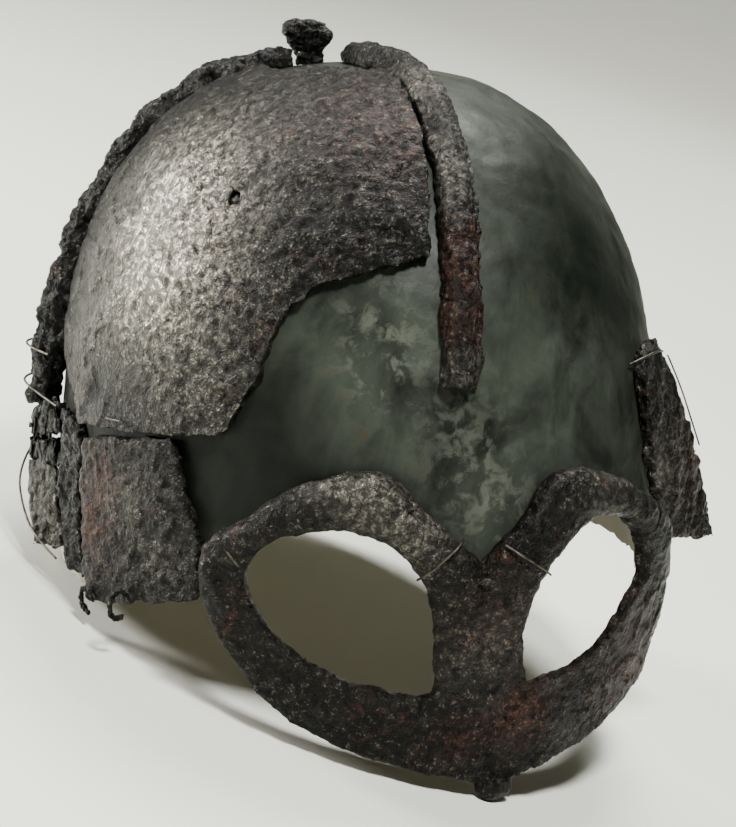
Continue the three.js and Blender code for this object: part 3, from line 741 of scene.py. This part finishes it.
def behind_left_cheek(upright: np.ndarray) -> np.ndarray:
    """Raises the bowl's rim where the left cheek plate hides it.

    Args:
        upright: Points in upright millimetres.

    Returns:
        The points.
    """
    rise = 12.0
    fades_out_at = 14.0
    turn, height = turns_and_heights(upright)
    window = ramp(turn, -84.0, -76.0) * ramp(-turn, 30.0, 36.0)
    share = np.clip((fades_out_at - height) / (fades_out_at + RIM_DROP), 0.0, 1.0)
    moved = upright.copy()
    moved[:, 2] += window * share * rise
    return moved


Mask = Callable[[np.ndarray], np.ndarray]


@dataclass
class WornPiece:
    """A piece of the helmet that is remeshed from its solid and worn into shape."""

    node: str
    finish: bpy.types.Material
    slot: str
    voxel: float = 1.0
    smoothing: int = 4
    ragged: float = 0.9
    ragged_size: float = 6.0
    layers: tuple[Wear, ...] = ()
    masks: dict[str, Mask] | None = None
    dents: tuple[Spot, ...] = ()
    shells: tuple[float, ...] = ()
    reshape: Callable[[np.ndarray], np.ndarray] | None = None
    seed: float = 1.0

    def copy_solid(self, frame: dict) -> bpy.types.Object:
        """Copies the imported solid's mesh and merges its loose triangles.

        Args:
            frame: The loaded frame.

        Returns:
            The copy.
        """
        mesh = frame["nodes"][self.node].data.copy()
        piece = bpy.data.objects.new(f"{self.node}_worn", mesh)
        bpy.context.scene.collection.objects.link(piece)
        only(piece)
        bpy.ops.object.mode_set(mode="EDIT")
        bpy.ops.mesh.select_all(action="SELECT")
        bpy.ops.mesh.remove_doubles(threshold=0.02 * MM)
        bpy.ops.object.mode_set(mode="OBJECT")
        return piece

    def remesh(self, piece: bpy.types.Object) -> None:
        """Remeshes finely and softens the facets.

        Args:
            piece: The piece.
        """
        only(piece)
        fine = piece.modifiers.new("Fine", "REMESH")
        fine.mode = "VOXEL"
        fine.voxel_size = self.voxel * MM
        bpy.ops.object.modifier_apply(modifier=fine.name)
        soft = piece.modifiers.new("Soft", "SMOOTH")
        soft.factor = 0.5
        soft.iterations = self.smoothing
        bpy.ops.object.modifier_apply(modifier=soft.name)

    def fray(self, piece: bpy.types.Object, helmet: HelmetFrame) -> None:
        """Makes edges uneven by sliding points along the helmet's skin.

        Args:
            piece: The piece.
            helmet: The helmet's pose.
        """
        points = points_of(piece)
        upright = helmet.to_helmet(points)
        slide = vector_noise(upright, self.ragged_size, self.seed) * self.ragged
        slide += vector_noise(upright, self.ragged_size * 0.35, self.seed + 5.0) * self.ragged * 0.5
        out = upright / np.array([BOWL_HALF_WIDTH, BOWL_HALF_LENGTH, CROWN_HEIGHT]) ** 2
        out /= np.linalg.norm(out, axis=1, keepdims=True) + 1e-9
        slide -= out * np.sum(slide * out, axis=1, keepdims=True)
        move_points(piece, points + slide @ np.array(helmet.rotation).T * MM)

    def round_off(self, piece: bpy.types.Object, helmet: HelmetFrame) -> None:
        """Lays the faces that follow the helmet exactly onto its smooth skins.

        Args:
            piece: The piece.
            helmet: The helmet's pose.
        """
        within = 1.3
        upright = helmet.to_helmet(points_of(piece))
        for shell in self.shells:
            upright = onto_shell(upright, shell, within)
        move_points(piece, helmet.from_helmet(upright))

    def change_form(self, piece: bpy.types.Object, helmet: HelmetFrame) -> None:
        """Slides places of the piece that the photograph shows elsewhere."""
        upright = self.reshape(helmet.to_helmet(points_of(piece)))
        move_points(piece, helmet.from_helmet(upright))

    def weather(self, piece: bpy.types.Object, helmet: HelmetFrame) -> None:
        """Displaces the surface and paints how deep or proud each point has become.

        Args:
            piece: The piece.
            helmet: The helmet's pose.
        """
        broad_swell = 7.0
        points = points_of(piece)
        facing = normals_of(piece)
        upright = helmet.to_helmet(points)
        masks = {name: rule(upright) for name, rule in (self.masks or {}).items()}
        lift = np.zeros(len(points))
        relief = np.zeros(len(points))
        for number, layer in enumerate(self.layers):
            weight = np.clip(masks[layer.mask], 0.0, 1.0) if layer.mask else 1.0
            change = relief_of(layer, upright, self.seed + number) * layer.depth * weight
            lift += change
            if layer.kind is not Relief.SWELLS or layer.size < broad_swell:
                relief += change
        if self.dents:
            dent = spot_mask(upright, self.dents)
            lift -= dent
            relief -= dent
        move_points(piece, points + facing * lift[:, None] * MM)
        spread = np.percentile(np.abs(relief), 95) + 0.3
        paint(piece, "relief", relief / spread)
        for name in PAINTED:
            paint(piece, name, masks.get(name, np.zeros(len(points))))

    def build(self, frame: dict, helmet: HelmetFrame) -> bpy.types.Object:
        """Makes the piece.

        Args:
            frame: The loaded frame.
            helmet: The helmet's pose.

        Returns:
            The finished piece, riding on the root body.
        """
        piece = self.copy_solid(frame)
        self.remesh(piece)
        if self.shells:
            self.round_off(piece, helmet)
        if self.reshape:
            self.change_form(piece, helmet)
        if self.ragged > 0.0:
            self.fray(piece, helmet)
        self.weather(piece, helmet)
        piece.data.materials.clear()
        piece.data.materials.append(self.finish)
        only(piece)
        bpy.ops.object.shade_smooth()
        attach(piece, "root")
        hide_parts(self.node)
        LOG.info("%s: %d faces", piece.name, len(piece.data.polygons))
        return piece


@dataclass(frozen=True)
class BindingWire:
    """A thin wire through places on the helmet, each a turn, a height and an offset."""

    name: str
    route: tuple[tuple[float, float, float], ...]
    thickness: float = 0.8

    def build(self, helmet: HelmetFrame, finish: bpy.types.Material) -> bpy.types.Object:
        """Makes the wire as a closed tube.

        Args:
            helmet: The helmet's pose.
            finish: The wire's material.

        Returns:
            The finished wire.
        """
        curve = bpy.data.curves.new(self.name, "CURVE")
        curve.dimensions = "3D"
        curve.bevel_depth = self.thickness / 2 * MM
        curve.bevel_resolution = 2
        curve.resolution_u = 10
        curve.use_fill_caps = True
        spline = curve.splines.new("NURBS")
        spline.points.add(len(self.route) - 1)
        spline.use_endpoint_u = True
        spline.order_u = 3
        for knot, place in zip(spline.points, self.route):
            knot.co = (*helmet.skin(*place), 1.0)
        wire = bpy.data.objects.new(self.name, curve)
        bpy.context.scene.collection.objects.link(wire)
        only(wire)
        bpy.ops.object.convert(target="MESH")
        wire = bpy.context.view_layer.objects.active
        wire.data.materials.clear()
        wire.data.materials.append(finish)
        bpy.ops.object.shade_smooth()
        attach(wire, "root")
        return wire


BINDING_WIRES = (
    BindingWire(
        "band_wire_upper",
        ((-107.0, 62.0, 9.0), (-105.0, 62.5, 14.5), (-100.0, 62.0, 14.0), (-96.0, 61.0, 8.0)),
    ),
    BindingWire(
        "band_wire_lower",
        ((-107.0, 50.0, 9.0), (-105.0, 49.5, 14.5), (-100.0, 48.0, 12.5), (-92.0, 45.0, 5.0)),
    ),
    BindingWire(
        "corner_wire",
        ((-43.6, 25.0, 5.0), (-42.6, 22.5, 10.6), (-41.2, 19.0, 11.4), (-39.8, 15.0, 9.5)),
    ),
    BindingWire(
        "scrap_wire",
        (
            (-104.0, 24.0, 10.5), (-104.5, 16.0, 14.5), (-100.0, 6.0, 13.5), (-94.0, -2.0, 10.5),
            (-88.0, -6.0, 6.0),
        ),
    ),
    BindingWire(
        "cheek_wire_top",
        ((40.5, 70.0, 0.9), (45.0, 72.5, 5.8), (50.0, 72.0, 6.2), (54.0, 70.0, 5.4)),
    ),
    BindingWire(
        "cheek_wire_edge",
        ((56.0, 68.0, 6.4), (58.6, 58.0, 8.8), (61.0, 47.0, 11.2), (63.6, 34.0, 14.6)),
        0.6,
    ),
    BindingWire(
        "plate_staple",
        ((-72.0, 50.0, 3.6), (-71.0, 50.4, 4.6), (-67.6, 51.0, 4.7), (-66.8, 50.8, 3.6)),
        0.7,
    ),
)


def even(value: float) -> Mask:
    """Gives a mask of one value all over."""
    return lambda upright: np.full(len(upright), value)


def spots_rule(*spots: Spot) -> Mask:
    """Gives a mask made of spots."""
    return lambda upright: spot_mask(upright, spots)


def plate_masks() -> dict[str, Mask]:
    """Gives the upper plate's coarse zone, rust and sheen; the sheen is sound metal and also a painted
    highlight where the left light falls.

    Returns:
        Masks by name.
    """

    def coarse(upright: np.ndarray) -> np.ndarray:
        """Rises from the smooth side of the plate to its coarse side."""
        turn, height = turns_and_heights(upright)
        return 0.1 + 0.9 * ramp(turn + (height - 90.0) * 0.12, -70.0, -56.0)

    def layered(upright: np.ndarray) -> np.ndarray:
        """Leaves the steps of flaked layers to the smooth side."""
        return 1.0 - 0.8 * coarse(upright)

    # Painted highlight on the upper left of the plate, where the left light falls; it also marks sound metal.
    sheen = spots_rule(
        Spot(-67.0, 122.0, 27.0, 1.0), Spot(-63.0, 97.0, 24.0, 0.95), Spot(-82.0, 78.0, 24.0, 0.2),
        Spot(-50.0, 66.0, 22.0, 0.16),
    )
    rust = spots_rule(Spot(-12.0, 146.0, 26.0, 0.35), Spot(-86.0, 52.0, 12.0, 0.3))
    return {"coarse": coarse, "layered": layered, "sheen": sheen, "rust": rust}


def bowl_masks() -> dict[str, Mask]:
    """Gives the bowl's lighter patches, partly a painted highlight, its painted shade and its bare rim.

    Returns:
        Masks by name.
    """

    def bare(upright: np.ndarray) -> np.ndarray:
        """Finds the unpainted inner face and the strip of rim at the back."""
        turn, height = turns_and_heights(upright)
        behind = ramp(np.abs(turn), 70.0, 86.0) * ramp(-height, 4.5, 7.5)
        inner = onto_shell(upright, -BOWL_WALL, ANY_DISTANCE)
        inside = np.linalg.norm(upright - inner, axis=1) < 1.0
        return np.maximum(behind, inside)

    # Painted highlight: pale spots on the front and front left of the bowl, where the light falls.
    sheen = spots_rule(
        Spot(-17.0, 88.0, 14.0, 0.8), Spot(-18.0, 74.0, 10.0, 0.6), Spot(0.0, 44.0, 16.0, 0.55),
        Spot(4.0, 30.0, 12.0, 0.5), Spot(-4.0, 62.0, 14.0, 0.3), Spot(24.0, 70.0, 24.0, 0.1),
    )
    # Painted shade: darker places on the bowl's right side, away from the lights, and at the left front below
    # the upper plate.
    shade = spots_rule(
        Spot(-44.0, 38.0, 22.0, 1.2), Spot(-34.0, 34.0, 14.0, 0.8), Spot(-60.0, 45.0, 20.0, 0.9),
        Spot(-38.0, 62.0, 14.0, 0.8), Spot(36.0, 116.0, 38.0, 0.9), Spot(44.0, 84.0, 20.0, 0.5),
    )
    return {"sheen": sheen, "shade": shade, "bare": bare}


def worn_pieces() -> list[WornPiece]:
    """Lists the helmet's pieces with their wear and finishes.

    Returns:
        The pieces, not yet built.
    """
    rusty_brown = (0.0095, 0.0080, 0.0064, 1.0)
    crust_brown = (0.0075, 0.0070, 0.0058, 1.0)
    iron = IronFinish("pitted_iron").build()
    rusty = IronFinish("rusty_iron", brown=rusty_brown, rust_reach=0.5, metal=0.3).build()
    crust = IronFinish("crusted_iron", brown=crust_brown, rust_reach=0.2, grain=3.0).build()
    filler = FillerFinish("painted_filler").build()
    pitted = (
        Wear(Relief.SWELLS, 16.0, 0.5, "coarse"),
        Wear(Relief.SWELLS, 4.2, 0.4, "coarse"),
        Wear(Relief.CRUST, 2.6, 0.16, "coarse"),
        Wear(Relief.PITS, 4.2, 0.5, "coarse"),
        Wear(Relief.STEPS, 12.0, 0.26, "layered"),
    )
    rough = (
        Wear(Relief.SWELLS, 10.0, 0.5), Wear(Relief.SWELLS, 3.6, 0.22), Wear(Relief.PITS, 4.6, 0.5),
        Wear(Relief.STEPS, 9.0, 0.2),
    )
    heavy = (
        Wear(Relief.SWELLS, 10.0, 1.1), Wear(Relief.SWELLS, 3.8, 0.6), Wear(Relief.PITS, 5.0, 1.0),
        Wear(Relief.STEPS, 7.0, 0.25),
    )
    lumpy = (Wear(Relief.SWELLS, 2.0, 0.5),)
    return [
        WornPiece(
            "bowl", filler, "filler", voxel=1.9, smoothing=9, ragged=0.0, masks=bowl_masks(),
            layers=(Wear(Relief.SWELLS, 40.0, 0.5), Wear(Relief.SWELLS, 13.0, 0.25)),
            shells=(0.0, -BOWL_WALL), reshape=behind_left_cheek,
            dents=(
                Spot(-12.0, 84.0, 9.0, 1.2), Spot(-20.0, 66.0, 8.0, 0.9), Spot(-3.0, 33.0, 1.6, 1.6),
                Spot(10.0, 52.0, 10.0, 0.8), Spot(26.0, 96.0, 12.0, 0.7), Spot(-14.0, 52.0, 9.0, -0.9),
            ),
        ),
        WornPiece(
            "upper_plate", iron, "iron", voxel=0.85, smoothing=3, ragged=1.0, masks=plate_masks(),
            layers=pitted, shells=(0.4, 3.8), reshape=over_the_crown,
            dents=(
                Spot(-50.3, 122.5, 3.4, 3.4), Spot(-72.0, 102.0, 2.2, 0.9), Spot(-70.0, 88.0, 2.0, 0.9),
                Spot(-71.0, 81.0, 1.8, 0.8), Spot(-77.0, 56.5, 4.6, 2.6), Spot(-47.0, 121.0, 2.2, -0.9),
            ),
            seed=2.0,
        ),
        WornPiece(
            "left_cheek_plate", rusty, "rusty_iron", voxel=0.8, ragged=1.2, layers=rough, seed=3.0,
            masks={
                "sheen": spots_rule(Spot(-66.0, 26.0, 9.0, 0.3), Spot(-57.0, 8.0, 9.0, 0.25)),
                "rust": spots_rule(Spot(-75.0, 14.0, 13.0, 0.9), Spot(-71.0, 32.0, 9.0, 0.6)),
            },
        ),
        WornPiece("left_strip", crust, "rusty_iron", voxel=0.7, ragged=1.6, layers=heavy, seed=4.0),
        WornPiece(
            "upper_scrap", crust, "iron", voxel=0.6, ragged=3.0, ragged_size=4.5, layers=rough, seed=5.0,
        ),
        WornPiece(
            "middle_scrap", crust, "iron", voxel=0.6, ragged=3.0, ragged_size=4.5, layers=rough, seed=6.0,
        ),
        WornPiece(
            "lower_scrap", iron, "iron", voxel=0.6, ragged=2.8, ragged_size=9.0, layers=rough, seed=7.0,
            masks={"sheen": even(0.25)},
        ),
        WornPiece(
            "right_cheek_plate", rusty, "rusty_iron", voxel=0.75, ragged=1.8, layers=rough, seed=8.0,
            masks={
                "rust": spots_rule(Spot(62.0, 30.0, 16.0, 0.6)),
                "sheen": spots_rule(Spot(47.0, 30.0, 12.0, 0.35)),
            },
        ),
        WornPiece(
            "front_band", rusty, "rusty_iron", voxel=0.6, ragged=0.8, layers=rough, seed=9.0,
            masks={
                "rust": spots_rule(Spot(-2.0, 106.0, 14.0, 0.55), Spot(-3.0, 88.0, 7.0, 0.9)),
                # Sheen along the band's ridge: sound metal, and a painted highlight where the light falls.
                "sheen": spots_rule(
                    Spot(0.0, 132.0, 12.0, 0.4), Spot(-3.0, 76.0, 8.0, 0.35), Spot(0.0, 152.0, 14.0, 0.4),
                ),
            },
            dents=(Spot(-2.4, 90.0, 3.0, -1.2), Spot(-4.2, 93.5, 1.6, -0.9), Spot(1.2, 141.0, 2.6, -0.8)),
        ),
        WornPiece(
            "lateral_band", crust, "iron", voxel=0.7, ragged=1.2, ragged_size=5.0, layers=heavy,
            reshape=down_to_the_bowl, seed=10.0,
        ),
        WornPiece(
            "crown_knob", crust, "iron", voxel=0.5, smoothing=2, ragged=1.6, ragged_size=4.0,
            layers=rough, seed=11.0,
        ),
        WornPiece(
            "spectacle_guard", rusty, "rusty_iron", voxel=0.8, smoothing=3, ragged=0.4, ragged_size=5.0,
            seed=12.0,
            layers=(
                Wear(Relief.SWELLS, 13.0, 0.4), Wear(Relief.SWELLS, 3.6, 0.14), Wear(Relief.PITS, 5.0, 0.4),
                Wear(Relief.STEPS, 10.0, 0.18),
            ),
            masks={
                # Sheen mostly on the left brow: sound metal, and a painted highlight where the front light
                # falls.
                "sheen": spots_rule(
                    Spot(-16.0, 36.0, 9.0, 1.0), Spot(-22.0, 41.0, 10.0, 1.0), Spot(-11.0, 28.0, 9.0, 1.0),
                    Spot(24.0, 37.0, 12.0, 0.4), Spot(-44.0, 18.0, 8.0, 0.3), Spot(2.0, -10.0, 14.0, 0.2),
                ),
                "rust": spots_rule(
                    Spot(10.0, -36.0, 11.0, 0.8), Spot(-2.0, -42.0, 8.0, 0.5), Spot(40.0, -30.0, 20.0, 0.5),
                    Spot(2.0, 0.0, 14.0, 0.3),
                ),
            },
            dents=(
                Spot(-38.4, 27.0, 1.8, 2.4), Spot(29.0, 36.5, 1.6, 1.3), Spot(30.5, 32.5, 1.5, 1.3),
                Spot(-45.0, 20.0, 3.6, -1.2), Spot(-46.0, 8.0, 3.2, -1.0), Spot(5.0, -66.0, 3.0, -0.9),
            ),
        ),
        WornPiece(
            "nose_rivet", iron, "iron", voxel=0.3, smoothing=2, ragged=0.0, masks={"sheen": even(0.3)},
            seed=13.0,
        ),
        WornPiece("ring_back", crust, "iron", voxel=0.35, smoothing=3, ragged=0.3, layers=lumpy),
        WornPiece("ring_front", crust, "iron", voxel=0.35, smoothing=3, ragged=0.3, layers=lumpy),
    ]


@dataclass(frozen=True)
class PhotoCamera:
    """The photograph's viewpoint, in the helmet's upright frame, in millimetres and degrees."""

    azimuth: float = -19.0
    elevation: float = 12.0
    roll: float = 1.2
    distance: float = 1000.0
    target: tuple[float, float, float] = (0.0, 0.0, 60.0)
    aim_right: float = 3.57
    aim_down: float = 22.0
    lens: float = 125.5
    sensor: float = 36.0

    def build(self, helmet: HelmetFrame) -> None:
        """Places the camera.

        Args:
            helmet: The helmet's pose.
        """
        azimuth, elevation, roll = (math.radians(a) for a in (self.azimuth, self.elevation, self.roll))
        back = Vector((
            math.sin(azimuth) * math.cos(elevation),
            -math.cos(azimuth) * math.cos(elevation),
            math.sin(elevation),
        ))
        level = Vector((math.cos(azimuth), math.sin(azimuth), 0.0))
        above = back.cross(level)
        right = level * math.cos(roll) + above * math.sin(roll)
        up = above * math.cos(roll) - level * math.sin(roll)
        eye = Vector(self.target) + back * self.distance
        aim = Vector(self.target) + right * self.aim_right - up * self.aim_down
        behind = (helmet.to_scene(eye) - helmet.to_scene(aim)).normalized()
        across = helmet.rotation @ right
        across = (across - behind * across.dot(behind)).normalized()
        upward = behind.cross(across)
        turn = Matrix((across, upward, behind)).transposed().to_4x4()
        data = bpy.data.cameras.new("photo_camera")
        data.lens = self.lens
        data.sensor_width = self.sensor
        camera = bpy.data.objects.new("photo_camera", data)
        camera.matrix_world = Matrix.Translation(helmet.to_scene(eye)) @ turn
        bpy.context.scene.collection.objects.link(camera)
        bpy.context.scene.camera = camera


@dataclass(frozen=True)
class SoftLight:
    """A round area light; its place and aim are in the helmet's upright frame in millimetres."""

    name: str
    place: tuple[float, float, float]
    size: float
    power: float
    colour: tuple[float, float, float] = (1.0, 1.0, 1.0)
    aim: tuple[float, float, float] = (0.0, 0.0, 60.0)

    def build(self, helmet: HelmetFrame) -> None:
        """Places the light.

        Args:
            helmet: The helmet's pose.
        """
        data = bpy.data.lights.new(self.name, "AREA")
        data.shape = "DISK"
        data.size = self.size
        data.energy = self.power
        data.color = self.colour
        light = bpy.data.objects.new(self.name, data)
        light.location = helmet.to_scene(self.place)
        look = helmet.to_scene(self.aim) - light.location
        light.rotation_euler = look.to_track_quat("-Z", "Y").to_euler()
        bpy.context.scene.collection.objects.link(light)


class Studio:
    """The pale floor, the lights and the surrounding light."""

    LIGHTS = (
        SoftLight("left_softbox", (-850.0, 560.0, 700.0), 0.34, 27.0, (1.0, 0.985, 0.94)),
        SoftLight("back_overhead", (420.0, 380.0, 1120.0), 0.6, 26.0, (1.0, 1.0, 0.97)),
        SoftLight("front_top", (60.0, -760.0, 980.0), 0.22, 25.0, (0.99, 1.0, 0.97)),
        SoftLight(
            "left_pool", (-1000.0, 700.0, 600.0), 0.4, 24.0, (1.0, 0.985, 0.93), (-1400.0, 900.0, -200.0),
        ),
        SoftLight(
            "right_pool", (900.0, 900.0, 700.0), 0.4, 9.0, (1.0, 0.98, 0.92), (1300.0, 1300.0, -200.0),
        ),
    )
    AMBIENT = (0.80, 0.87, 0.82, 1.0)
    AMBIENT_STRENGTH = 0.03
    HALF_WIDTH = 6.0
    FRONT = -4.0
    BEND_START = 1.7
    BEND_RADIUS = 1.6
    BEND_STEPS = 24
    TOP = 4.0

    def sweep(self) -> bpy.types.Object:
        """Makes the floor, which curves up into a wall behind the helmet as the camera sees it.

        Returns:
            The floor.
        """
        profile = [(self.FRONT, 0.0)]
        for step in range(self.BEND_STEPS + 1):
            angle = math.pi / 2 * step / self.BEND_STEPS
            away = self.BEND_START + self.BEND_RADIUS * math.sin(angle)
            profile.append((away, self.BEND_RADIUS * (1.0 - math.cos(angle))))
        profile.append((profile[-1][0], self.TOP))
        view = bpy.context.scene.camera.matrix_world.to_quaternion() @ Vector((0.0, 0.0, -1.0))
        ahead = Vector((view.x, view.y, 0.0)).normalized()
        side = Vector((ahead.y, -ahead.x, 0.0))
        corners = [ahead * away + side * end + Vector((0.0, 0.0, height))
                   for away, height in profile for end in (-self.HALF_WIDTH, self.HALF_WIDTH)]
        faces = [(i, i + 1, i + 3, i + 2) for i in range(0, len(corners) - 2, 2)]
        mesh = bpy.data.meshes.new("studio_sweep")
        mesh.from_pydata(corners, [], faces)
        paper = bpy.data.objects.new("studio_sweep", mesh)
        bpy.context.scene.collection.objects.link(paper)
        only(paper)
        bpy.ops.object.shade_smooth()
        return paper

    def build(self, helmet: HelmetFrame) -> None:
        """Makes the floor and the lights.

        Args:
            helmet: The helmet's pose.
        """
        paper = self.sweep()
        paper.data.materials.append(FloorFinish("studio_paper").build())
        for light in self.LIGHTS:
            light.build(helmet)
        world = bpy.data.worlds.new("studio_air")
        world.use_nodes = True
        ground = world.node_tree.nodes["Background"]
        ground.inputs["Color"].default_value = self.AMBIENT
        ground.inputs["Strength"].default_value = self.AMBIENT_STRENGTH
        bpy.context.scene.world = world


def smooth_wires(frame: dict, helmet: HelmetFrame, finish: bpy.types.Material) -> None:
    """Rounds the two brow wires from their solids.

    Args:
        frame: The loaded frame.
        helmet: The helmet's pose.
        finish: The wires' material.
    """
    for node in ("left_brow_wire", "right_brow_wire"):
        wire = WornPiece(node, finish, "wire", voxel=0.22, smoothing=3, ragged=0.0)
        wire.build(frame, helmet)


def main() -> None:
    """Loads the frame, dresses every piece and sets the studio."""
    noise.seed_set(NOISE_SEED)
    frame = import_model()
    helmet = HelmetFrame.from_record(frame["record"])
    PhotoCamera().build(helmet)
    Studio().build(helmet)
    for piece in worn_pieces():
        piece.build(frame, helmet)
    wire_finish = WireFinish("dull_wire").build()
    smooth_wires(frame, helmet, wire_finish)
    for wire in BINDING_WIRES:
        wire.build(helmet, wire_finish)


if __name__ == "__main__":
    logging.basicConfig(level=logging.INFO, format="%(message)s")
    main()
